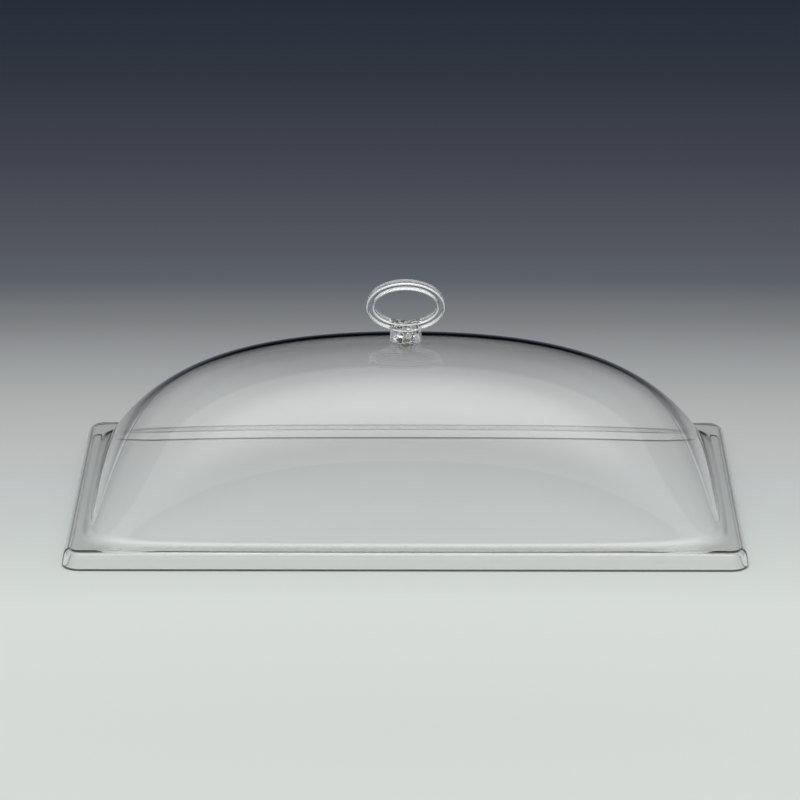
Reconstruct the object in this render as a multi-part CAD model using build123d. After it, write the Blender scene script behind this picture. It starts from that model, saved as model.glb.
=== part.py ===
from build123d import *
import math
import os

# Clear cover for a serving tray. The origin is at the middle of the rim's footprint, on the
# surface that the cover stands on. X runs along the length, Y towards the back, Z up.

# Rim: a flange all round, turned down into a skirt that leans outwards
rim_length = 508.0
rim_width = 305.0
rim_corner_radius = 14.0
skirt_height = 13.5
skirt_lean = 8.0
shoulder_radius = 6.0

# Dome: one formed sheet, an arch along the length times an arch across the width
sheet_thickness = 3.0
crown_height = 129.5
end_setback = 13.8
side_setback = 16.4
length_fullness = 0.48
length_power = 1.6
width_fullness = 0.70
width_power = 1.5
foot_rise = 3.8
foot_sink = 0.25

# Handle: an oval ring that stands on a round post
ring_width = 59.5
ring_height = 38.4
ring_depth = 12.4
ring_band = 5.8
ring_edge_radius = 1.6
ring_lift = 8.6
post_diameter = 24.0
post_edge_radius = 1.2
post_overlap = 2.6

# Screw, washers and gasket on the crown's centre line
screw_diameter = 5.0
screw_bite = 9.6
screw_head_diameter = 9.6
screw_head_height = 3.4
screw_head_radius = 1.4
drive_width = 1.3
drive_length = 5.2
drive_depth = 1.9
hole_clearance = 0.25
thread_clearance = 0.05
hole_floor_gap = 1.0
gasket_thickness = 0.8
seal_diameter = 18.0
seal_thickness = 1.6
washer_diameter = 14.0
washer_thickness = 1.0

# How the dome is drawn: rings up the foot's arc and then up the wall, and points along each ring
foot_rings = 4
wall_rings = 20
eighth_points = 8
corner_crowding = 0.7
crown_ring_angle = 0.4


def arch(share, fullness, power):
    """Height of an arch, 1 at its middle and 0 at its ends, at a share of its half span."""
    return ((1 - share**2) * (1 + (1 - fullness) * share**2)) ** (1 / power)


def arch_slope(share, fullness, power):
    """Change of the arch's height with the share of its half span."""
    inside = (1 - share**2) * (1 + (1 - fullness) * share**2)
    fall = 2 * fullness * share + 4 * (1 - fullness) * share**3
    return -fall / power * inside ** (1 / power - 1)


def arch_span(height, fullness, power):
    """Share of the half span at which the arch has come down to this height."""
    bend = 1 - fullness
    fall = 1 - height**power
    return math.sqrt((math.sqrt(fullness**2 + 4 * bend * fall) - fullness) / (2 * bend))


def wall_points(level, inset):
    """Quarter of the dome's outline at a level, from the middle of its side to the middle of its end.

    Each point has its place, the plan direction in which the wall faces there, and the wall's
    lean from upright."""
    half_length = rim_length / 2 - end_setback - inset
    half_width = rim_width / 2 - side_setback - inset
    height = crown_height - inset
    lengthwise = (length_fullness, length_power)
    crosswise = (width_fullness, width_power)
    corner = math.sqrt(level / height)
    steps = [(step / eighth_points) ** corner_crowding for step in range(eighth_points + 1)]
    shares = []
    for step in steps:
        along = step * arch_span(corner, *lengthwise)
        shares.append((along, arch_span(level / height / arch(along, *lengthwise), *crosswise)))
    for step in reversed(steps[:-1]):
        across = step * arch_span(corner, *crosswise)
        shares.append((arch_span(level / height / arch(across, *crosswise), *lengthwise), across))
    points = []
    for along, across in shares:
        downhill = Vector(
            -height / half_length * arch_slope(along, *lengthwise) * arch(across, *crosswise),
            -height / half_width * arch(along, *lengthwise) * arch_slope(across, *crosswise),
            0,
        )
        place = Vector(half_length * along, half_width * across, level)
        points.append((place, downhill.normalized(), math.atan2(1, downhill.length)))
    return points


def foot_points(turn, inset):
    """Quarter ring on the arc at the wall's foot, which turns from level (0) to the wall (1)."""
    floor = skirt_height - inset - foot_sink
    rise = foot_rise + inset + foot_sink
    points = []
    for place, facing, lean in wall_points(floor + rise, inset):
        radius = rise / (1 - math.sin(lean))
        angle = turn * (math.pi / 2 - lean)
        reach = radius * (math.cos(lean) - math.sin(angle))
        climb = radius * (1 - math.cos(angle)) - rise
        points.append(place + facing * reach + Vector(0, 0, climb))
    return points


def marks_along(points):
    """Share of the way along a row of points at which each of them lies."""
    lengths = [0.0]
    for before, after in zip(points, points[1:]):
        lengths.append(lengths[-1] + (after - before).length)
    return [length / lengths[-1] for length in lengths]


# Every ring's spline has its points at the same marks, so that the loft's surface stays simple
ring_marks = marks_along([place for place, facing, lean in wall_points(crown_height / 2, 0)])


def closed_ring(quarter):
    """Closed ring from a quarter's points: a spline square to the middle planes, and its mirror images."""
    edge = Edge.make_spline(quarter, tangents=[Vector(1, 0, 0), Vector(0, -1, 0)], parameters=ring_marks)
    half = [edge, edge.mirror(Plane.XZ)]
    return Wire(half + [side.mirror(Plane.YZ) for side in half])


def dome_block(inset):
    """Solid dome inside a skin that lies inset from the outside, lofted through its rings."""
    height = crown_height - inset
    rings = [closed_ring(foot_points(ring / foot_rings, inset)) for ring in range(foot_rings)]
    low = math.acos((skirt_height + foot_rise) / height)
    high = math.radians(crown_ring_angle)
    for ring in range(wall_rings):
        angle = low + (high - low) * math.sin(math.pi / 2 * ring / (wall_rings - 1)) ** 2
        quarter = wall_points(height * math.cos(angle), inset)
        rings.append(closed_ring([place for place, facing, lean in quarter]))
    return Solid.make_loft(rings)


def rim_block(inset):
    """Solid rim inside a skin: it narrows upwards, and its shoulder is rounded."""
    side = inset / math.cos(math.radians(skirt_lean))
    outline = RectangleRounded(rim_length - 2 * side, rim_width - 2 * side, rim_corner_radius - side)
    rim = extrude(outline, skirt_height - inset, taper=skirt_lean)
    return fillet(rim.edges().group_by(Axis.Z)[-1], shoulder_radius - inset)


def crown_disc(diameter, bottom, top):
    """Upright cylinder on the crown's centre line between two heights."""
    return Pos(0, 0, bottom) * extrude(Circle(diameter / 2), top - bottom)


# Heights on the crown's centre line
inner_crown = crown_height - sheet_thickness
post_foot = crown_height + gasket_thickness
ring_bottom = crown_height + ring_lift
seal_face = inner_crown - seal_thickness
washer_face = seal_face - washer_thickness
screw_tip = post_foot + screw_bite
hole_diameter = screw_diameter + 2 * hole_clearance
screw_hole = crown_disc(hole_diameter, washer_face, ring_bottom)

# Dome cover: the outer block less the inner one, so that the sheet is even all over
outer_dome = dome_block(0)
inner_dome = dome_block(sheet_thickness)
outer_cover = outer_dome + rim_block(0)
inner_cover = inner_dome + rim_block(sheet_thickness)
dome_cover = outer_cover - inner_cover - screw_hole

# Ring handle: the oval band and its post, with a blind hole for the screw
ring_middle = ring_bottom + ring_height / 2
oval = Ellipse(ring_width / 2, ring_height / 2)
oval -= Ellipse(ring_width / 2 - ring_band, ring_height / 2 - ring_band)
band = extrude(Plane.XZ.offset(-ring_depth / 2) * oval, ring_depth)
band = fillet(band.edges().filter_by(GeomType.ELLIPSE), ring_edge_radius)
post = crown_disc(post_diameter, post_foot, ring_bottom + post_overlap)
post = fillet(post.edges().group_by(Axis.Z)[-1], post_edge_radius)
blind_hole = crown_disc(screw_diameter + 2 * thread_clearance, post_foot, screw_tip + hole_floor_gap)
ring_handle = Pos(0, 0, ring_middle) * band + post - blind_hole

# Gasket: flat on top for the post, and shaped to the crown underneath
handle_gasket = crown_disc(post_diameter, inner_crown, post_foot) - outer_dome - screw_hole

# Seal washer: shaped to the inside of the crown on top, and flat underneath for the steel washer
seal_washer = (crown_disc(seal_diameter, seal_face, crown_height) & inner_dome) - screw_hole
steel_washer = crown_disc(washer_diameter, washer_face, seal_face) - screw_hole

# Screw: pan head with a cross recess, put in from inside the dome
head = crown_disc(screw_head_diameter, washer_face - screw_head_height, washer_face)
head = fillet(head.edges().group_by(Axis.Z)[0], screw_head_radius)
recess = Rectangle(drive_length, drive_width) + Rectangle(drive_width, drive_length)
head -= Pos(0, 0, washer_face - screw_head_height) * extrude(recess, drive_depth)
handle_screw = head + crown_disc(screw_diameter, washer_face, screw_tip)

pieces = {
    "dome_cover": dome_cover,
    "ring_handle": ring_handle,
    "handle_gasket": handle_gasket,
    "seal_washer": seal_washer,
    "steel_washer": steel_washer,
    "handle_screw": handle_screw,
}
os.makedirs("parts", exist_ok=True)
for name, piece in pieces.items():
    export_step(piece, f"parts/{name}.step")
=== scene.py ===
# %% [markdown]
# # A clear tray cover
# The cover is one clear formed sheet, a pillow-shaped dome on a flanged rim, with a clear ring
# handle screwed to its crown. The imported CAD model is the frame: it holds every place and size,
# in metres, with X along the cover, Y to the back and Z up. The pieces made here take the place of
# its solids one for one, so the dressed cover is as large as the plain one.

# %% The frame
import math

import bmesh
import bpy
import numpy as np
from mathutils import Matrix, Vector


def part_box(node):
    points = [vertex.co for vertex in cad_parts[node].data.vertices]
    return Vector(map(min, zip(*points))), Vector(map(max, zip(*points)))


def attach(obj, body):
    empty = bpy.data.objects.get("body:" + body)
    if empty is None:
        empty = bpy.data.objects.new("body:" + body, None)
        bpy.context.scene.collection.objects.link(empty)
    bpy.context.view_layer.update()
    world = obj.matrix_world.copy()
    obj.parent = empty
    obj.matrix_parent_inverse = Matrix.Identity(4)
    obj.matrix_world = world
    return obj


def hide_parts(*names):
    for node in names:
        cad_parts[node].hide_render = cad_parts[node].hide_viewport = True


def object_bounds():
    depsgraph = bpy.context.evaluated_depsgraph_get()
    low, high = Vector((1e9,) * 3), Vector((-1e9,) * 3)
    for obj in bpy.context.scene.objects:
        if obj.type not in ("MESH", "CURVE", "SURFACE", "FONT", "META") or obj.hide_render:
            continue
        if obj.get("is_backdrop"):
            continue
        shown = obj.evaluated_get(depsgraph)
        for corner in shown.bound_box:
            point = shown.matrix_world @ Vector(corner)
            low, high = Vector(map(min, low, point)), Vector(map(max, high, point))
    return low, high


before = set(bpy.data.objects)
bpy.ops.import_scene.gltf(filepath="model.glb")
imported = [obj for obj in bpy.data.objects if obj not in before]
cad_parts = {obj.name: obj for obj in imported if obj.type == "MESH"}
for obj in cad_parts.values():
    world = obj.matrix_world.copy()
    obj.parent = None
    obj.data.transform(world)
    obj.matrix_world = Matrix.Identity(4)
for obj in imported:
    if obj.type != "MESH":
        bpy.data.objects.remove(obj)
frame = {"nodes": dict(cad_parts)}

scene = bpy.context.scene
cad_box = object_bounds()


def in_mm(lengths):
    """Lengths in metres, as millimetres rounded for printing."""
    return np.round(1000 * np.array(lengths, dtype=float), 1).tolist()


print("nodes:", ", ".join(frame["nodes"]))
print("CAD box in mm:", in_mm(cad_box))

# %% [markdown]
# ## The camera
# The photograph was taken with a long lens from some way off and a little above: the rim's two
# long edges come out nearly the same length, and the far one lies well above the near one. The
# distance, tilt and lens below are the ones at which the rim's four edges fall where they do there.

# %% The camera
camera_place = (0.0069, -3.2852, 1.1872)
tilt_down, turn_left = math.radians(18.6), math.radians(0.195)
focal_length = 204.4
camera = bpy.data.objects.new("camera", bpy.data.cameras.new("camera"))
scene.collection.objects.link(camera)
camera.location = camera_place
camera.rotation_euler = (math.pi / 2 - tilt_down, 0, turn_left)
camera.data.lens = focal_length
scene.camera = camera
scene.view_settings.view_transform = "Standard"
print("camera:", round(camera.location.length, 2), "m away, lens", focal_length, "mm")

# %% [markdown]
# ## Colours and shader nodes
# Colours are written as sRGB hex values, as a paint chart gives them, while shaders reckon in
# linear light, so one function turns the one into the other. A second one adds a shader node, sets
# its properties and fills its sockets, with a number or with what another node gives out. A third
# starts a material with nothing in it.

# %% Three helpers for materials
def paint(code):
    """Linear red, green, blue and alpha of a hex colour: the sRGB curve, undone for each part."""
    part = np.array([int(code[place:place + 2], 16) for place in (1, 3, 5)]) / 255
    linear = np.where(part <= 0.04045, part / 12.92, ((part + 0.055) / 1.055) ** 2.4)
    return (*linear.tolist(), 1.0)


def add_node(tree, kind, sockets=None, **settings):
    """Adds a shader node. Each socket, by name or number, gets a value, or a link from an output."""
    node = tree.nodes.new("ShaderNode" + kind)
    for name, value in settings.items():
        setattr(node, name, value)
    for name, value in (sockets or {}).items():
        if isinstance(value, bpy.types.NodeSocket):
            tree.links.new(value, node.inputs[name])
        else:
            node.inputs[name].default_value = value
    return node


def new_material(name):
    """A material of this name with an empty node tree, and the tree."""
    material = bpy.data.materials.new(name)
    material.use_nodes = True
    material.node_tree.nodes.clear()
    return material, material.node_tree


print("paint('#808080') is", round(paint("#808080")[0], 3), "in linear light")

# %% [markdown]
# ## The floor
# The cover stands on a pale sheet that is light in front and falls off to dark slate at the back.
# A clear piece shows little but what lies behind it, so this fall-off is what the cover is seen by.
# It could be made with a lamp that lights only the front, but then the lamp would decide the
# cover's own look as well. Here the light is even, and the fall-off is painted light: a pool of
# light painted into the sheet's colour, in rings of an oval three times as wide as it is deep, so
# that the picture's rows stay level. Past the picture's sides the painted pool stays pale far back,
# because the dome's ends mirror it there.

# %% The floor's mesh
floor_gap = 0.0005
floor_reach = 9.0
corners = floor_reach * np.array([[-1, -1], [1, -1], [1, 1], [-1, 1]])
level = np.full(len(corners), cad_box[0][2] - floor_gap)
floor_mesh = bpy.data.meshes.new("floor")
floor_mesh.from_pydata(np.c_[corners, level].tolist(), [], [(0, 1, 2, 3)])
floor = bpy.data.objects.new("floor", floor_mesh)
scene.collection.objects.link(floor)
floor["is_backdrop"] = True
print("floor:", 2 * floor_reach, "m square,", in_mm(floor_gap), "mm under the rim")

# %% The floor's painted pool of light
pool_middle = -0.45
pool_reach = 3.5
pool_squeeze = 0.33
# The painted pool of light: the steps below paint the fall-off of light into the sheet's colour, and past
# the picture's sides the side lift draws the pool out further back
side_start, side_end, side_lift = 0.45, 1.2, 2.4
painted_light_fade = {
    0.00: "#CFD3D0", 0.24: "#D2D7D3", 0.32: "#CACFCB", 0.41: "#C2C7C5", 0.50: "#BBC0BF",
    0.59: "#B6B8B7", 0.69: "#ABADAC", 0.80: "#97999B", 0.91: "#7B7D7F", 1.03: "#5C6068",
    1.15: "#52555D", 1.42: "#42454F", 1.73: "#333842", 2.08: "#29303C", 2.60: "#17191C",
    3.50: "#08090A",
}
material, tree = new_material("studio_sheet_painted_light_pool")
place = add_node(tree, "TexCoord").outputs["Object"]
oval = add_node(tree, "VectorMath", {0: place, 1: (pool_squeeze, 1, 0), 2: (0, -pool_middle, 0)},
                operation="MULTIPLY_ADD")
distance = add_node(tree, "VectorMath", {0: oval.outputs[0]}, operation="LENGTH")
mirrored = add_node(tree, "VectorMath", {0: place}, operation="ABSOLUTE")
aside = add_node(tree, "SeparateXYZ", {0: mirrored.outputs[0]})
lift = add_node(tree, "MapRange", {
    "Value": aside.outputs["X"],
    "From Min": side_start,
    "From Max": side_end,
    "To Max": side_lift,
})
depth = add_node(tree, "Math", {0: distance.outputs["Value"], 1: lift.outputs["Result"]},
                 operation="SUBTRACT")
share = add_node(tree, "MapRange", {"Value": depth.outputs[0], "From Max": pool_reach})
ramp = add_node(tree, "ValToRGB", {"Fac": share.outputs["Result"]})
stops = ramp.color_ramp.elements
for spot, colour in painted_light_fade.items():
    stop = {0.0: stops[0], pool_reach: stops[-1]}.get(spot) or stops.new(spot / pool_reach)
    stop.color = paint(colour)
sheet = add_node(tree, "BsdfDiffuse", {"Color": ramp.outputs["Color"]})
add_node(tree, "OutputMaterial", {"Surface": sheet.outputs[0]})
floor_mesh.materials.append(material)
print("fade:", len(painted_light_fade), "steps from", painted_light_fade[0.0], "to", painted_light_fade[pool_reach])

# %% [markdown]
# ## The light
# Clear plastic has hardly any colour of its own: what draws it is the pale reflection of a wide
# light on the front of the dome, and the dark of the room along its edges. A lamp alone would show
# its own hard outline there. So most of the light is a glow in the room itself, brightest straight
# overhead and fading out towards the horizon. The wall behind the camera is pale, the one behind the
# cover is black, which draws the crown's dark line, and the side walls are grey, so that the dome's
# ends don't go black too. One weak soft box adds the faint arch that its front edge draws on the
# dome. Together they light the sheet so that it renders about as it is painted.

# %% The room's glow
glow_peak = 2.20
glow = {
    1.00: "#FFFFFF", 0.98: "#F4F4F4", 0.93: "#D0D0D0", 0.89: "#AEAEAE", 0.85: "#929292",
    0.80: "#828282", 0.70: "#767676", 0.56: "#656565", 0.47: "#515151", 0.30: "#4A4A4A",
    0.10: "#000000",
}
room = bpy.data.worlds.new("dark_room")
room.use_nodes = True
room.node_tree.nodes.clear()
tree = room.node_tree
way = add_node(tree, "SeparateXYZ", {0: add_node(tree, "TexCoord").outputs["Generated"]})
ramp = add_node(tree, "ValToRGB", {"Fac": way.outputs["Z"]})
stops = ramp.color_ramp.elements
for height, colour in glow.items():
    stop = {1.0: stops[-1]}.get(height) or stops.new(height)
    stop.color = paint(colour)
overhead = add_node(tree, "Background", {"Color": ramp.outputs["Color"], "Strength": glow_peak})
print("glow:", glow_peak, "overhead, in", len(glow), "steps down to the horizon")

# %% The room's walls
wall_behind, wall_aside, wall_in_front = "#07080A", "#989A9B", "#FAFBFB"

# A wall begins and is full where a direction of length 1 goes this far aside, X, or forward, -Y
side_begins, side_full = 0.12, 0.45
front_begins, front_full = -0.5, -0.97

# A Mix node has numbers and colours under the same socket names, so its colours go by number
first_colour, second_colour, mixed = 6, 7, 2

aside = add_node(tree, "Math", {0: way.outputs["X"]}, operation="ABSOLUTE")
flanks = add_node(tree, "MapRange", {
    "Value": aside.outputs[0],
    "From Min": side_begins,
    "From Max": side_full,
}, interpolation_type="SMOOTHSTEP")
front = add_node(tree, "MapRange", {
    "Value": way.outputs["Y"],
    "From Min": front_begins,
    "From Max": front_full,
}, interpolation_type="SMOOTHSTEP")
grey = add_node(tree, "Mix", {
    "Factor": flanks.outputs["Result"],
    first_colour: paint(wall_behind),
    second_colour: paint(wall_aside),
}, data_type="RGBA")
wall = add_node(tree, "Mix", {
    "Factor": front.outputs["Result"],
    first_colour: grey.outputs[mixed],
    second_colour: paint(wall_in_front),
}, data_type="RGBA")
walls = add_node(tree, "Background", {"Color": wall.outputs[mixed]})
both = add_node(tree, "AddShader", {0: overhead.outputs[0], 1: walls.outputs[0]})
add_node(tree, "OutputWorld", {"Surface": both.outputs[0]})
scene.world = room
print("walls:", wall_behind, "behind,", wall_aside, "aside,", wall_in_front, "in front")

# %% The soft box
box_length, box_width = 3.0, 2.6
box_place = (0.0, -0.2, 1.6)
box_radiance = 0.36
lamp = bpy.data.lights.new("soft_box", "AREA")
lamp.shape = "RECTANGLE"
lamp.size, lamp.size_y = box_length, box_width
lamp.energy = box_radiance * math.pi * box_length * box_width
soft_box = bpy.data.objects.new("soft_box", lamp)
soft_box.location = box_place
soft_box.visible_camera = False
scene.collection.objects.link(soft_box)
print("soft box:", round(lamp.energy, 1), "W over", round(box_length * box_width, 1), "square metres")

# %% [markdown]
# ## From a grid of points to a piece
# Each piece is a sheet of points in rows and columns, like a net, wrapped round until its edges
# meet. Worked out as whole arrays, a net is quick to make and easy to change. Where a row shrinks
# to one point, at a pole, its points are welded. The volume that a closed net holds is positive
# only if its faces look outwards, so that is measured and put right.

# %% The net
weld_distance = 1e-7


def piece_from_net(name, net, closed_rows=True):
    """Object from a net of points: each is joined to the next in its row and column, and last to first.

    The net is an array of rows, columns and 3. Without closed_rows, its first and last row are poles."""
    rows, columns = net.shape[:2]
    index = np.arange(rows * columns).reshape(rows, columns)
    if closed_rows:
        index = np.r_[index, index[:1]]
    index = np.c_[index, index[:, :1]]
    faces = np.stack([index[:-1, :-1], index[:-1, 1:], index[1:, 1:], index[1:, :-1]], axis=-1)
    mesh = bpy.data.meshes.new(name)
    mesh.from_pydata(net.reshape(-1, 3).tolist(), [], faces.reshape(-1, 4).tolist())
    shell = bmesh.new()
    shell.from_mesh(mesh)
    bmesh.ops.remove_doubles(shell, verts=shell.verts, dist=weld_distance)
    if shell.calc_volume(signed=True) < 0:
        bmesh.ops.reverse_faces(shell, faces=shell.faces)
    shell.to_mesh(mesh)
    shell.free()
    piece = bpy.data.objects.new(name, mesh)
    scene.collection.objects.link(piece)
    return piece


def dress(piece, node, crease=35):
    """Lets a piece stand for a CAD node, smooth except where faces turn by over crease degrees."""
    piece.data.shade_smooth()
    piece.data.set_sharp_from_angle(angle=math.radians(crease))
    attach(piece, "root")
    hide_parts(node)
    shell = bmesh.new()
    shell.from_mesh(piece.data)
    open_edges = sum(1 for edge in shell.edges if len(edge.link_faces) != 2)
    print(f"{piece.name}: {len(shell.faces)} faces, {open_edges} open edges,",
          f"{1e6 * shell.calc_volume(signed=True):.2f} cubic cm")
    shell.free()


print(f"points of a net that lie within {1e6 * weld_distance:.1f} thousandths of a mm are welded")

# %% [markdown]
# ## The dome's shape
# The dome is a sheet of polycarbonate, heated and drawn over a form. Its outline seen from the
# front is an arch, and so is its outline seen from the end, and the height at any point of the plan
# is the crown's height times both arches. That gives flat, pillow-like sides and soft corners with
# only a fullness and a power for each arch. A box with a subdivision surface would come near, but
# its curve would be Blender's and not the form's.

# %% Two arches
sheet_thickness = 0.003
crown_height = 0.1295
end_setback = 0.0138
side_setback = 0.0164
lengthwise = {"fullness": 0.48, "power": 1.6}
crosswise = {"fullness": 0.70, "power": 1.5}
half_length, half_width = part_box("dome_cover")[1][:2]


def arch(share, fullness, power):
    """Height of an arch, 1 at its middle and 0 at its ends, at a share s of its half span.

    The power-th root of (1 - s squared) times (1 + (1 - fullness) s squared)."""
    return ((1 - share**2) * (1 + (1 - fullness) * share**2)) ** (1 / power)


def arch_slope(share, fullness, power):
    """Change of the arch's height with the share of its half span: the derivative of its formula."""
    fall = 2 * fullness * share + 4 * (1 - fullness) * share**3
    return -fall / power * arch(share, fullness, power) ** (1 - power)


def arch_span(height, fullness, power):
    """The share at which the arch has come down to a height: its formula solved for s squared."""
    bend = 1 - fullness
    root = np.sqrt(fullness**2 + 4 * bend * (1 - height**power))
    return np.sqrt((root - fullness) / (2 * bend))


def dome_size(inset):
    """Half length, half width and height of the skin that lies inset from the outside."""
    return half_length - end_setback - inset, half_width - side_setback - inset, crown_height - inset


def dome_height(x, y, inset=0.0):
    """Height of a skin over a point of the plan: its crown times the arch along and the arch across."""
    half_x, half_y, top = dome_size(inset)
    return top * arch(np.abs(x) / half_x, **lengthwise) * arch(np.abs(y) / half_y, **crosswise)


halfway = half_length / 2
print("dome on its middle line, halfway to the end:", in_mm(dome_height(halfway, 0)), "mm high")

# %% [markdown]
# ## Rings up the dome
# A net over the dome has one row for each level and one column for each direction. At a level, the
# two arches multiply to the same share of the crown's height everywhere. Each direction divides
# that share between them: the arch along takes it to the power of the squared sine, the arch
# across to the squared cosine, and as these add up to one, the product is always right.

# %% Walls, crown and foot
around = 480
turn = np.linspace(0, 2 * np.pi, around, endpoint=False)
along, across = np.sin(turn), np.cos(turn)
flange_top = 0.0135
foot_rise = 0.0038
hole_radius = 0.00275

# The wall's levels go by the cosine of an angle, from this one at the crown down to the foot
crown_edge = math.radians(4.5)


def wall_rings(levels, inset):
    """Rings of a skin at these levels: each arch's span at its part of the level's share.

    The parts are the share to the power of sin squared, along, and of cos squared, across."""
    half_x, half_y, top = dome_size(inset)
    share = levels[:, None] / top
    x = half_x * np.sign(along) * arch_span(share ** along**2, **lengthwise)
    y = half_y * np.sign(across) * arch_span(share ** across**2, **crosswise)
    return np.stack([x, y, np.broadcast_to(levels[:, None], x.shape)], axis=-1)


def crown_rings(steps, edge, inset):
    """Rings from the screw hole's circle out to the wall's topmost ring, each laid on the skin."""
    mix = np.arange(steps)[:, None, None] / steps
    hole = hole_radius * np.stack([along, across], axis=-1)
    plan = (1 - mix) * hole + mix * edge[:, :2]
    return np.concatenate([plan, dome_height(plan[..., :1], plan[..., 1:], inset)], axis=-1)


def foot_rings(turns, inset):
    """Rings on the arc at the wall's foot, which turns from the flange (0) to the wall (1).

    The arc touches both: its radius is the rise over 1 - sin(lean), the wall's lean from upright."""
    half_x, half_y, top = dome_size(inset)
    ring = wall_rings(np.array([flange_top + foot_rise]), inset)[0]
    u, v = np.abs(ring[:, 0]) / half_x, np.abs(ring[:, 1]) / half_y
    slope_x = -top / half_x * arch_slope(u, **lengthwise) * arch(v, **crosswise)
    slope_y = -top / half_y * arch(u, **lengthwise) * arch_slope(v, **crosswise)
    steepness = np.hypot(slope_x, slope_y)
    downhill = np.stack([np.sign(along) * slope_x, np.sign(across) * slope_y], axis=-1)
    facing = downhill / steepness[:, None]
    lean = np.arctan2(1, steepness)
    rise = foot_rise + inset
    radius = rise / (1 - np.sin(lean))
    angle = turns[:, None] * (np.pi / 2 - lean)
    reach = radius * (np.cos(lean) - np.sin(angle))
    climb = radius * (1 - np.cos(angle)) - rise
    plan = ring[:, :2] + facing * reach[..., None]
    return np.concatenate([plan, (ring[:, 2] + climb)[..., None]], axis=-1)


def skin_rings(inset, crown_steps=8, wall_steps=44, foot_steps=10):
    """One skin of the dome from the screw hole down to the flange."""
    top = crown_height - inset
    foot_angle = math.acos((flange_top + foot_rise) / top)
    wall = wall_rings(top * np.cos(np.linspace(crown_edge, foot_angle, wall_steps)), inset)
    crown = crown_rings(crown_steps, wall[0], inset)
    foot = foot_rings(np.linspace(1, 0, foot_steps + 1)[1:], inset)
    return np.concatenate([crown, wall, foot])


outer_skin = skin_rings(0.0)
inner_skin = skin_rings(sheet_thickness)
print("outer skin:", len(outer_skin), "rings, crown at", in_mm(outer_skin[0, 0, 2]), "mm")

# %% [markdown]
# ## The rim
# Round the dome's foot runs a flat flange, turned down into a skirt that leans outwards, so that
# covers stack and the skirt drops over the tray's edge. Its section, a shoulder, the slanting skirt
# and the trimmed lower edge, is carried round a rectangle with rounded corners. The same columns as
# in the dome run on through it, so that the whole sheet is one net with no seam. The shoulder is
# half a millimetre rounder than the CAD model's, which thins the dark line that runs along it.

# %% The rim's section, carried round its outline
rim_corner = 0.014
skirt_lean = math.radians(8)
shoulder_radius = 0.0065
trim_radius = 0.0004


def arc(middle, radius, start, end, steps):
    """Points on an arc in the section: inwards from the rim's outline, and up."""
    angle = np.radians(np.linspace(start, end, steps))
    return np.stack([middle[0] - radius * np.cos(angle), middle[1] + radius * np.sin(angle)], axis=-1)


def rim_section():
    """The rim's section: four arcs, from the flange's top over the shoulder and down to the edge.

    From there it runs round the edge and back up inside. The skirt is the straight line between."""
    slant, upright = math.sin(skirt_lean), math.cos(skirt_lean)
    lean = math.degrees(skirt_lean)
    level = flange_top - shoulder_radius
    shoulder = (shoulder_radius / upright + level * math.tan(skirt_lean), level)
    outer_edge = (trim_radius * (1 + slant) / upright, trim_radius)
    inner_edge = ((sheet_thickness - trim_radius * (1 - slant)) / upright, trim_radius)
    return np.concatenate([
        arc(shoulder, shoulder_radius, 90, lean, steps=12),
        arc(outer_edge, trim_radius, lean, -90, steps=8),
        arc(inner_edge, trim_radius, -90, lean - 180, steps=6),
        arc(shoulder, shoulder_radius - sheet_thickness, lean, 90, steps=8),
    ])


def rim_rings(section, foot, corner_span=(38, 52)):
    """The section carried round the outline. A column follows the foot's ring on the straight sides.

    Between the two directions of corner_span, in degrees, it swings round the corner's arc instead."""
    start, end = corner_span
    fold = np.degrees(np.arctan2(np.abs(along), np.abs(across)))
    quarter = slice(0, around // 4 + 1)
    x, y = np.abs(foot[:, 0]), np.abs(foot[:, 1])
    side_x = np.minimum(x / np.interp(start, fold[quarter], x[quarter]), 1)
    side_y = np.minimum(y / np.interp(end, fold[quarter], y[quarter]), 1)
    swing = np.pi / 2 * np.clip((fold - start) / (end - start), 0, 1)
    inwards, height = section[:, :1], section[:, 1:]
    x = np.sign(along) * ((half_length - rim_corner) * side_x + (rim_corner - inwards) * np.sin(swing))
    y = np.sign(across) * ((half_width - rim_corner) * side_y + (rim_corner - inwards) * np.cos(swing))
    return np.stack([x, y, np.broadcast_to(height, x.shape)], axis=-1)


def between(first, last, steps=3):
    """Rings on the flat flange, evenly between two rings."""
    mix = np.arange(1, steps)[:, None, None] / steps
    return (1 - mix) * first + mix * last


rim = rim_rings(rim_section(), outer_skin[-1])
print("rim:", len(rim), "rings,", in_mm(2 * rim.max(axis=(0, 1))[:2]), "mm outside")

# %% The whole sheet
dome_sheet = piece_from_net("dome_sheet", np.concatenate([
    outer_skin,
    between(outer_skin[-1], rim[0]),
    rim,
    between(rim[-1], inner_skin[-1]),
    inner_skin[::-1],
]))
dress(dome_sheet, "dome_cover")

# %% [markdown]
# ## Clear polycarbonate
# The sheet is cast clear and keeps its polish when it is formed, so the eye gets sharp reflections,
# dark lines where the sheet turns away, and a trace of grey in its thickness. It bends light by
# 1.585. Heating leaves the faintest ripple, two hundredths of a millimetre over some 40 mm, and
# wiping leaves marks finer than a millimetre, which are drawn here at 2 mm to show at all. A lamp's
# rays would stop at glass and leave a black shadow, so they, and light that the floor sends back,
# pass a plain see-through shader instead, which takes the share that the sheet really does.

# %% The shader for clear pieces
sheet_index = 1.585


def see_through(tree, glass, passing):
    """Closes a clear material: light from lamps and dull surfaces passes with a tint.

    All other light meets the glass."""
    ray = add_node(tree, "LightPath")
    lit = add_node(tree, "Math", {0: ray.outputs["Is Shadow Ray"], 1: ray.outputs["Is Diffuse Ray"]},
                   operation="MAXIMUM")
    film = add_node(tree, "BsdfTransparent", {"Color": paint(passing)})
    both = add_node(tree, "MixShader", {0: lit.outputs[0], 1: glass.outputs[0], 2: film.outputs[0]})
    add_node(tree, "OutputMaterial", {"Surface": both.outputs[0]})


turned_back = ((sheet_index - 1) / (sheet_index + 1)) ** 2
print(f"each surface of the sheet turns back {100 * turned_back:.1f} % of the light that meets it squarely")

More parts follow.
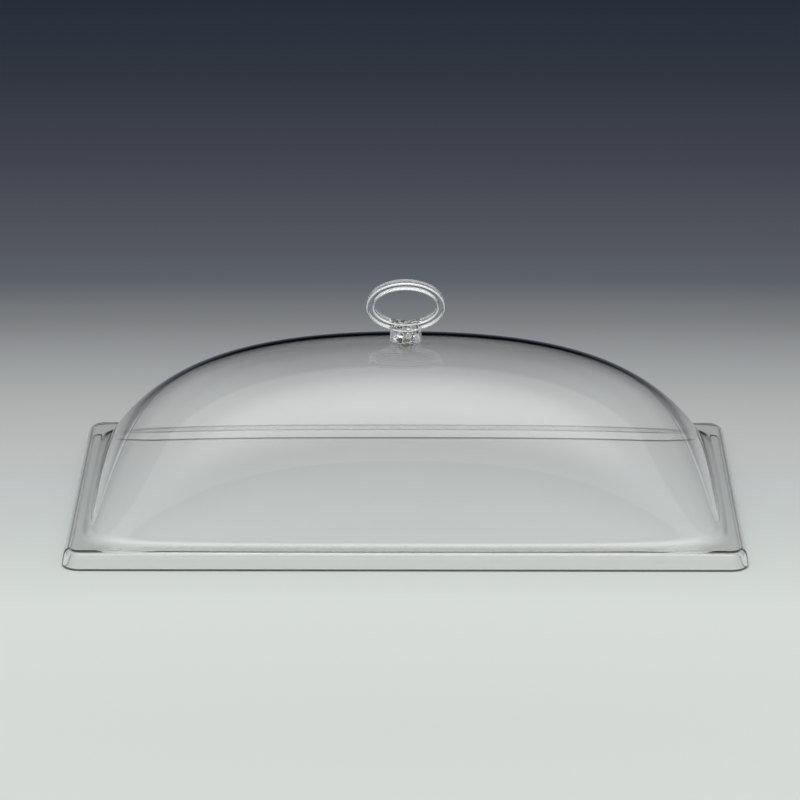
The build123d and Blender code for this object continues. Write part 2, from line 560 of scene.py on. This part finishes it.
# %% Clear polycarbonate
ripple_size, ripple_depth = 0.040, 0.00002
cloud_size, wipe_size = 0.090, 0.002

# A noise texture could give anything from 0 to 1, but stays in this range nearly everywhere
noise_range = {"From Min": 0.3, "From Max": 0.7}

clear_polycarbonate, tree = new_material("clear_polycarbonate")
place = add_node(tree, "TexCoord").outputs["Object"]
waves = add_node(tree, "TexNoise", {"Vector": place, "Scale": 1 / ripple_size, "Detail": 0.0})
ripple = add_node(tree, "Bump", {"Height": waves.outputs["Fac"], "Distance": ripple_depth, "Strength": 1.0})
clouds = add_node(tree, "TexNoise", {"Vector": place, "Scale": 1 / cloud_size})
tint = add_node(tree, "Mix", {
    "Factor": clouds.outputs["Fac"],
    first_colour: paint("#FFFFFF"),
    second_colour: paint("#FDFDFD"),
}, data_type="RGBA")
wiping = add_node(tree, "TexNoise", {"Vector": place, "Scale": 1 / wipe_size})
polish = add_node(tree, "MapRange", {
    "Value": wiping.outputs["Fac"],
    **noise_range,
    "To Min": 0.0,
    "To Max": 0.008,
})
glass = add_node(tree, "BsdfPrincipled", {
    "Base Color": tint.outputs[mixed],
    "Roughness": polish.outputs["Result"],
    "IOR": sheet_index,
    "Transmission Weight": 1.0,
    "Normal": ripple.outputs[0],
})
see_through(tree, glass, "#F6F6F6")
dome_sheet.data.materials.append(clear_polycarbonate)
print("polycarbonate: index", sheet_index, "on", dome_sheet.name)

# %% [markdown]
# ## The sawn edge and its painted shade
# After forming, the sheet is sawn off along the rim's lower edge, and the saw leaves it dull. The
# cover stands on that edge, so hardly any light comes in there, and that contact shade is painted
# into the edge's colour. Light that enters the skirt is led down to it between the sheet's two
# faces, as in a light guide, and so the skirt and the shoulder show the edge's painted dark as thin
# lines along the rim. It has a material of its own, which the faces below the eased edge take: a
# dark grey of painted shade, rough, and streaked by the saw, drawn at 1.5 mm.

# %% The sawn edge, painted dark for its contact shade
saw_mark = 0.0015
sawn_edge_painted_shade, tree = new_material("sawn_edge_painted_shade")
place = add_node(tree, "TexCoord").outputs["Object"]
streaks = add_node(tree, "TexNoise", {"Vector": place, "Scale": 1 / saw_mark})
# The edge's dark grey is painted shade, the contact shade under the rim; the saw's streaks vary it
grey = add_node(tree, "Mix", {
    "Factor": streaks.outputs["Fac"],
    first_colour: paint("#484A4A"),
    second_colour: paint("#5A5E5E"),
}, data_type="RGBA")
dull = add_node(tree, "MapRange", {
    "Value": streaks.outputs["Fac"],
    **noise_range,
    "To Min": 0.5,
    "To Max": 0.7,
})
sawn = add_node(tree, "BsdfPrincipled", {
    "Base Color": grey.outputs[mixed],
    "Roughness": dull.outputs["Result"],
    "IOR": sheet_index,
})
add_node(tree, "OutputMaterial", {"Surface": sawn.outputs[0]})
dome_sheet.data.materials.append(sawn_edge_painted_shade)
# The faces below the eased edge take the painted shade of the sawn edge
faces = dome_sheet.data.polygons
centre = np.empty(3 * len(faces))
faces.foreach_get("center", centre)
painted_shade_faces = centre[2::3] < trim_radius
faces.foreach_set("material_index", painted_shade_faces.astype(np.int32))
print("sawn edge:", painted_shade_faces.sum(), "faces")

# %% [markdown]
# ## Clear acrylic
# The handle is moulded in acrylic, which is a little clearer than the sheet and bends light by
# 1.49. Its mould is polished, so its faces are clear and grey like what lies behind them. The
# plastic flows into the mould in slow waves of about 6 mm, which leave the faintest unevenness.
# The thick post cools last and its skin sinks in as it shrinks, so it breaks what lies behind it
# into white and dark spots: those sink marks are drawn deeper than they are, to show at this size.
# The edges of the ring and the top of the post are eased by tumbling, and that frosts them: they
# scatter the light of the whole room and stand out as white lines. They get a material of their own.

# %% Clear acrylic
acrylic_index = 1.49
flow_size, flow_depth, flow_squeeze = 0.006, 0.00002, (1, 1, 2)
haze_size, touch_size = 0.015, 0.001
ring_low, ring_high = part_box("ring_handle")
post_foot = ring_low[2]
heart_height = 0.004
post_heart = (0, 0, post_foot + heart_height)

# Sink marks are full within the nearer distance from the post's heart and gone at the farther one
sink_size, sink_depth, sink_near, sink_far = 0.0055, 0.003, 0.0130, 0.0155

clear_acrylic, tree = new_material("clear_acrylic")
place = add_node(tree, "TexCoord").outputs["Object"]
upright = add_node(tree, "VectorMath", {0: place, 1: flow_squeeze}, operation="MULTIPLY")
waves = add_node(tree, "TexNoise", {"Vector": upright.outputs[0], "Scale": 1 / flow_size, "Detail": 1.0})
flow = add_node(tree, "Bump", {"Height": waves.outputs["Fac"], "Distance": flow_depth, "Strength": 1.0})
swirls = add_node(tree, "TexNoise", {"Vector": place, "Scale": 1 / sink_size, "Detail": 0.0})
away = add_node(tree, "VectorMath", {0: place, 1: post_heart}, operation="DISTANCE")
thick = add_node(tree, "MapRange", {
    "Value": away.outputs["Value"],
    "From Min": sink_far,
    "From Max": sink_near,
})
sunk = add_node(tree, "Math", {0: swirls.outputs["Fac"], 1: thick.outputs["Result"]}, operation="MULTIPLY")
sinks = add_node(tree, "Bump", {
    "Height": sunk.outputs[0],
    "Distance": sink_depth,
    "Strength": 1.0,
    "Normal": flow.outputs[0],
})
haze = add_node(tree, "TexNoise", {"Vector": place, "Scale": 1 / haze_size})
tint = add_node(tree, "Mix", {
    "Factor": haze.outputs["Fac"],
    first_colour: paint("#FFFFFF"),
    second_colour: paint("#FBFCFC"),
}, data_type="RGBA")
touches = add_node(tree, "TexNoise", {"Vector": place, "Scale": 1 / touch_size})
polish = add_node(tree, "MapRange", {
    "Value": touches.outputs["Fac"],
    **noise_range,
    "To Min": 0.0,
    "To Max": 0.03,
})
glass = add_node(tree, "BsdfPrincipled", {
    "Base Color": tint.outputs[mixed],
    "Roughness": polish.outputs["Result"],
    "IOR": acrylic_index,
    "Transmission Weight": 1.0,
    "Normal": sinks.outputs[0],
})
see_through(tree, glass, "#F2F5F4")
print("acrylic: index", acrylic_index, "and sink marks", in_mm(sink_size), "mm wide")

# %% The frosted edges
# Frost is finer than this, and is drawn as coarse as it needs to show
frost_size = 0.0008
frosted_acrylic, tree = new_material("frosted_acrylic")
place = add_node(tree, "TexCoord").outputs["Object"]
scuffs = add_node(tree, "TexNoise", {"Vector": place, "Scale": 1 / frost_size})
white = add_node(tree, "Mix", {
    "Factor": scuffs.outputs["Fac"],
    first_colour: paint("#FFFFFF"),
    second_colour: paint("#F0F2F1"),
}, data_type="RGBA")
rough = add_node(tree, "MapRange", {
    "Value": scuffs.outputs["Fac"],
    **noise_range,
    "To Min": 0.35,
    "To Max": 0.6,
})
frost = add_node(tree, "BsdfPrincipled", {
    "Base Color": white.outputs[mixed],
    "Roughness": rough.outputs["Result"],
    "IOR": acrylic_index,
    "Transmission Weight": 0.5,
})
see_through(tree, frost, "#F2F5F4")
print("frosted edges: scuffs of", in_mm(frost_size), "mm")

# %% [markdown]
# ## The ring handle
# The handle is moulded in one: a flat oval band to hook two fingers through, on a round post with
# a threaded blind hole for the screw. The band is a rounded rectangle carried round an oval, and
# the post a profile turned about the screw's axis. The hole's radius rises and falls along a helix,
# just clear of the screw's own thread. Left as two overlapping pieces, band and post would show a
# wall of plastic inside the other, so a Boolean joins them and cuts the hole.

# %% The oval band
ring_half_width, ring_top = ring_high[0], ring_high[2]
ring_half_height = 0.0192
ring_band = 0.0058
ring_depth = 0.0124
ring_edge = 0.0016
ring_middle = ring_top - ring_half_height


def rounded_section(width, depth, radius, steps=9):
    """Closed outline of a rectangle with rounded corners: four quarter arcs, joined by straight sides."""
    angle = np.radians(np.linspace(0, 90, steps) + 90 * np.arange(4)[:, None])
    middle_x = (width / 2 - radius) * np.array([1, -1, -1, 1])
    middle_y = (depth / 2 - radius) * np.array([1, 1, -1, -1])
    x = middle_x[:, None] + radius * np.cos(angle)
    y = middle_y[:, None] + radius * np.sin(angle)
    return np.stack([x.ravel(), y.ravel()], axis=-1)


def oval_band(steps=288):
    """The section carried round an oval, whose half axes shrink by a point's depth inside the band."""
    section = rounded_section(ring_band, ring_depth, ring_edge)
    inwards, depth = ring_band / 2 - section[:, :1], section[:, 1:]
    angle = np.linspace(0, 2 * np.pi, steps, endpoint=False)
    x = (ring_half_width - inwards) * np.cos(angle)
    z = ring_middle + (ring_half_height - inwards) * np.sin(angle)
    return np.stack([x, np.broadcast_to(depth, x.shape), z], axis=-1)


handle_ring = piece_from_net("handle_ring", oval_band())
print("band:", len(handle_ring.data.vertices), "points,", in_mm(2 * ring_half_width), "mm wide")

# %% The post and its hole
post_radius = ring_high[1]
post_overlap = 0.0026
post_top = ring_top - 2 * ring_half_height + post_overlap
post_edge = 0.0012
bore_radius = 0.00255
bore_depth = 0.0106
bore_grip = 0.4
cut_past = 0.001
thread_pitch = 0.0008
thread_depth = 0.00045
quarter_turn = np.radians(np.linspace(0, 90, 9))


def about_axis(radius, angle, height):
    """Points at a radius, an angle about the screw's axis and a height."""
    x, y = radius * np.cos(angle), radius * np.sin(angle)
    return np.stack([x, y, np.broadcast_to(height, x.shape)], axis=-1)


def turned(profile, steps=96):
    """A profile of radii and heights turned about the screw's axis."""
    angle = np.linspace(0, 2 * np.pi, steps, endpoint=False)
    return about_axis(profile[:, :1], angle, profile[:, 1:])


def thread(angle, height):
    """How far a thread stands back from its crest: a triangle wave along a helix about the screw's axis."""
    wave = np.mod((height - post_foot) / thread_pitch - angle / (2 * np.pi), 1)
    return thread_depth * np.abs(2 * wave - 1)


def threaded_hole(rows=160, steps=96):
    """The blind hole: its radius follows the screw's thread, and it is closed by a pole at each end.

    It starts a little below the post, so that the cut goes clean through the post's foot."""
    angle = np.linspace(0, 2 * np.pi, steps, endpoint=False)
    height = np.linspace(post_foot - cut_past, post_foot + bore_depth, rows)[:, None]
    radius = bore_radius - bore_grip * thread(angle, height)
    radius[[0, -1]] = 0
    return about_axis(radius, angle, height)


post_profile = np.concatenate([
    [[0, post_foot], [post_radius, post_foot]],
    np.c_[post_radius - post_edge * (1 - np.cos(quarter_turn)),
          post_top - post_edge * (1 - np.sin(quarter_turn))],
    [[0, post_top]],
])
post = piece_from_net("post", turned(post_profile), closed_rows=False)
bore = piece_from_net("bore", threaded_hole(), closed_rows=False)
print("post:", in_mm(2 * post_radius), "mm wide, with a hole", in_mm(bore_depth), "mm deep")

# %% Band, post and hole in one
frost_low, frost_high = 0.4, 0.9
across_ring, along_post = 1, 2


def frost_edges(faces, axis):
    """Gives the second material to faces that slant between an axis and square to it, as eased edges do."""
    normal = np.empty(3 * len(faces))
    faces.foreach_get("normal", normal)
    slant = np.abs(normal[axis::3])
    eased = (slant > frost_low) & (slant < frost_high)
    faces.foreach_set("material_index", eased.astype(np.int32))


for part in (handle_ring, post, bore):
    part.data.materials.append(clear_acrylic)
    part.data.materials.append(frosted_acrylic)
frost_edges(handle_ring.data.polygons, across_ring)
frost_edges(post.data.polygons, along_post)
for operation, other in (("UNION", post), ("DIFFERENCE", bore)):
    joining = handle_ring.modifiers.new(operation, "BOOLEAN")
    joining.operation, joining.object, joining.solver = operation, other, "EXACT"
finished = handle_ring.evaluated_get(bpy.context.evaluated_depsgraph_get())
joined = bpy.data.meshes.new_from_object(finished)
handle_ring.modifiers.clear()
handle_ring.data = joined
for other in (post, bore):
    bpy.data.objects.remove(other)
dress(handle_ring, "ring_handle", crease=28)

# %% [markdown]
# ## Gasket and washers
# A soft disc beds the flat post on the curved crown. Under the crown a soft washer and a steel one
# spread the pull of the screw. All three are flat rings with eased edges, and the two soft ones take
# the dome's curve on one face. So one function makes them: a rounded section turned about the
# screw's axis, and then stretched between a lower and an upper surface.

# %% Three flat rings
gasket_thickness = 0.0008
seal_radius, seal_thickness = 0.009, 0.0016
washer_radius, washer_thickness = 0.007, 0.001

# A ring's edges are eased by a share of its thickness, of which no more than the limit counts
eased_share, eased_limit = 0.3, 0.0012

# Each ring stays this far off what it lies on, so that no two surfaces share a place
seam = 0.00002
washer_low, seal_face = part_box("steel_washer")[0][2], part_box("steel_washer")[1][2]


def flat_ring(name, radius, thickness, low, high):
    """A rounded section turned about the axis and laid between two surfaces, a seam's width off each.

    A point's height, as a share of the thickness, says how far it lies from the lower to the upper."""
    eased = eased_share * min(thickness, eased_limit)
    section = rounded_section(radius - hole_radius, thickness, eased, steps=5)
    net = turned(section + [(radius + hole_radius) / 2, 0])
    share = net[..., 2] / thickness + 0.5
    x, y = net[..., 0], net[..., 1]
    net[..., 2] = (1 - share) * (low(x, y) + seam) + share * (high(x, y) - seam)
    return piece_from_net(name, net)


gasket_disc = flat_ring("gasket_disc", post_radius, gasket_thickness,
                        dome_height, lambda x, y: post_foot)
seal_disc = flat_ring("seal_disc", seal_radius, seal_thickness,
                      lambda x, y: seal_face, lambda x, y: dome_height(x, y, sheet_thickness))
washer_disc = flat_ring("washer_disc", washer_radius, washer_thickness,
                        lambda x, y: washer_low, lambda x, y: seal_face)
dress(gasket_disc, "handle_gasket")
dress(seal_disc, "seal_washer")
dress(washer_disc, "steel_washer")

# %% [markdown]
# ## Soft vinyl
# Gasket and seal are punched from soft clear vinyl sheet. It scatters a little of the light that it
# lets through, from plasticiser inside and a dull calendered skin, so it is nearly as clear as glass
# but a little hazy, with a broad sheen and a fine grain, drawn at 0.6 mm.

# %% Soft vinyl
vinyl_index = 1.53
grain_size, grain_depth, mottle_size = 0.0006, 0.00003, 0.005
soft_vinyl, tree = new_material("soft_vinyl")
place = add_node(tree, "TexCoord").outputs["Object"]
pores = add_node(tree, "TexNoise", {"Vector": place, "Scale": 1 / grain_size})
grain = add_node(tree, "Bump", {"Height": pores.outputs["Fac"], "Distance": grain_depth, "Strength": 0.5})
mottle = add_node(tree, "TexNoise", {"Vector": place, "Scale": 1 / mottle_size})
hazy = add_node(tree, "Mix", {
    "Factor": mottle.outputs["Fac"],
    first_colour: paint("#F6F7F6"),
    second_colour: paint("#ECEEED"),
}, data_type="RGBA")
sheen = add_node(tree, "MapRange", {
    "Value": pores.outputs["Fac"],
    **noise_range,
    "To Min": 0.12,
    "To Max": 0.25,
})
vinyl = add_node(tree, "BsdfPrincipled", {
    "Base Color": hazy.outputs[mixed],
    "Roughness": sheen.outputs["Result"],
    "IOR": vinyl_index,
    "Transmission Weight": 0.95,
    "Normal": grain.outputs[0],
})
see_through(tree, vinyl, "#ECEEED")
for piece in (gasket_disc, seal_disc):
    piece.data.materials.append(soft_vinyl)
print("vinyl: index", vinyl_index, "on", gasket_disc.name, "and", seal_disc.name)

# %% [markdown]
# ## The screw
# A stainless pan-head screw comes up from inside the dome and bites into the post, where it shows
# as a grey shape through the clear plastic. It is one net about the axis: the head's face with its
# cross recess sunk in, the rounded side, the bearing face, and the shank, whose radius rises and
# falls as a triangle along a helix. A plain cylinder would miss the glitter that the thread gives.

# %% The screw's head
screw_low, screw_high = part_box("handle_screw")
head_face, screw_tip = screw_low[2], screw_high[2]
head_radius = screw_high[0]
head_round = 0.0014
head_rows = 48
shank_radius = 0.0025
drive = {"length": 0.0052, "width": 0.0013, "depth": 0.0019, "draft": 0.00018}


def inside(distance, limit):
    """1 well inside a limit and 0 outside, with a slanting edge as wide as the recess's draft."""
    return np.clip((limit - np.abs(distance)) / drive["draft"] + 0.5, 0, 1)


def cross_recess(x, y):
    """Depth of the recess: the deeper of two crossed slots."""
    slots = [inside(a, drive["length"] / 2) * inside(b, drive["width"] / 2) for a, b in ((x, y), (y, x))]
    return drive["depth"] * np.maximum(*slots)


head_profile = np.concatenate([
    np.c_[np.linspace(0, head_radius - head_round, head_rows, endpoint=False),
          np.full(head_rows, head_face)],
    np.c_[head_radius - head_round * (1 - np.sin(quarter_turn)),
          head_face + head_round * (1 - np.cos(quarter_turn))],
    [[head_radius, washer_low], [shank_radius, washer_low]],
])
head = turned(head_profile)
face = head[:head_rows]
face[..., 2] += cross_recess(face[..., 0], face[..., 1])
print("head:", in_mm(2 * head_radius), "mm wide, recess", in_mm(drive["depth"]), "mm deep")

# %% The screw's shank
shank_rows = 192
plain_turns = 0.5
point_length = 0.0008
height = np.linspace(washer_low, screw_tip, shank_rows)[1:, None]
angle = np.linspace(0, 2 * np.pi, head.shape[1], endpoint=False)

# Above the head the shank is plain for half a turn, and the thread then deepens over one turn.
# The tip is cut back at 45 degrees.
run_in = np.clip((height - washer_low) / thread_pitch - plain_turns, 0, 1)
cut_back = np.clip(point_length - (screw_tip - height), 0, point_length)
radius = np.minimum(shank_radius - run_in * thread(angle, height), shank_radius - cut_back)
shank = about_axis(radius, angle, height)
tip = np.broadcast_to([0, 0, screw_tip], (1, *shank.shape[1:]))
pan_screw = piece_from_net("pan_screw", np.concatenate([head, shank, tip]), closed_rows=False)
dress(pan_screw, "handle_screw", crease=40)

# %% [markdown]
# ## Stainless steel
# Screw and washer are cold-formed from stainless wire and strip and tumbled bright. That leaves a
# warm grey metal with soft reflections, and fine marks from tumbling, drawn at 0.4 mm.

# %% Stainless steel
tumble_size, tumble_depth, tone_size = 0.0004, 0.00001, 0.002
stainless_steel, tree = new_material("stainless_steel")
place = add_node(tree, "TexCoord").outputs["Object"]
marks = add_node(tree, "TexNoise", {"Vector": place, "Scale": 1 / tumble_size})
tumbled = add_node(tree, "Bump", {
    "Height": marks.outputs["Fac"],
    "Distance": tumble_depth,
    "Strength": 0.5,
})
tones = add_node(tree, "TexNoise", {"Vector": place, "Scale": 1 / tone_size})
warm = add_node(tree, "Mix", {
    "Factor": tones.outputs["Fac"],
    first_colour: paint("#B5B2AB"),
    second_colour: paint("#9C9992"),
}, data_type="RGBA")
soft = add_node(tree, "MapRange", {
    "Value": marks.outputs["Fac"],
    **noise_range,
    "To Min": 0.18,
    "To Max": 0.34,
})
steel = add_node(tree, "BsdfPrincipled", {
    "Base Color": warm.outputs[mixed],
    "Roughness": soft.outputs["Result"],
    "Metallic": 1.0,
    "Normal": tumbled.outputs[0],
})
add_node(tree, "OutputMaterial", {"Surface": steel.outputs[0]})
for piece in (washer_disc, pan_screw):
    piece.data.materials.append(stainless_steel)
print("steel: on", washer_disc.name, "and", pan_screw.name)

# %% [markdown]
# ## The size
# The dressed cover has to fill the same box as the CAD model, so both boxes are gathered side
# by side, and the visual one is printed.

# %% Both boxes, and the end
boxes = {"cad": cad_box, "visual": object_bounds()}
boxes = {name: [[float(side) for side in corner] for corner in box] for name, box in boxes.items()}
print("visual box in mm:", in_mm(boxes["visual"]))
